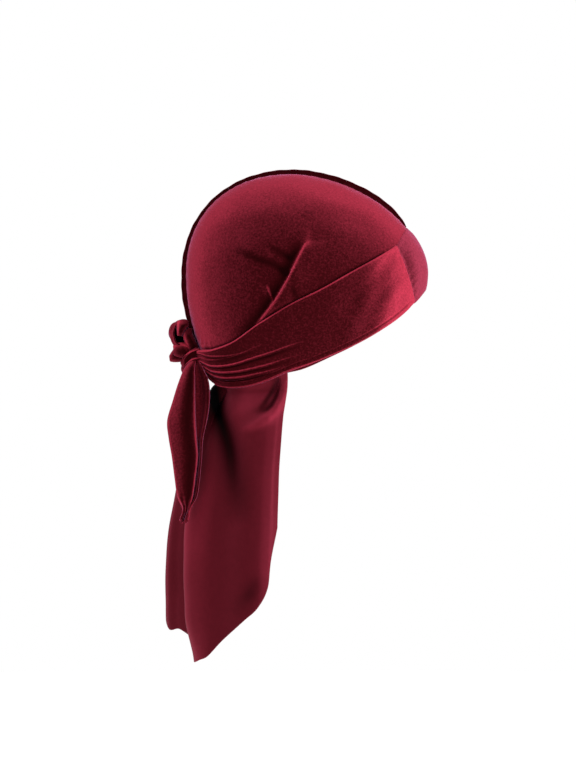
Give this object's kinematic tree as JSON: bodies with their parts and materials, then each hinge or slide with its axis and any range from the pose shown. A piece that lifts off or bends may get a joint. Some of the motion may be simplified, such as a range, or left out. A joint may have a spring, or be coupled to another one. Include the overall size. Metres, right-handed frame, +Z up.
{
  "type": "durag",
  "caption": "Velvet durag in its worn form: seamed crown, front band, straps tied at the nape in a bow with hanging ends, and a long cape over the neck.",
  "frame": {"origin": "inside of the crown where it rests on the top of the wearer's head", "axes": "+X towards the wearer's face, +Y towards the wearer's left, +Z up with the head upright"},
  "size_m": [0.2183, 0.1571, 0.4074],
  "materials": {
    "velvet": "burgundy pressed velvet, pile side out",
    "velvet_back": "smooth satin-like side of the cape"
  },
  "bodies": {
    "root": {"crown_panel_right": "velvet", "crown_panel_left": "velvet", "front_band": "velvet", "strap_right": "velvet", "strap_left": "velvet", "knot": "velvet", "bow_loop": "velvet", "long_end": "velvet", "short_end": "velvet", "cape": "velvet_back"}
  },
  "joints": []
}
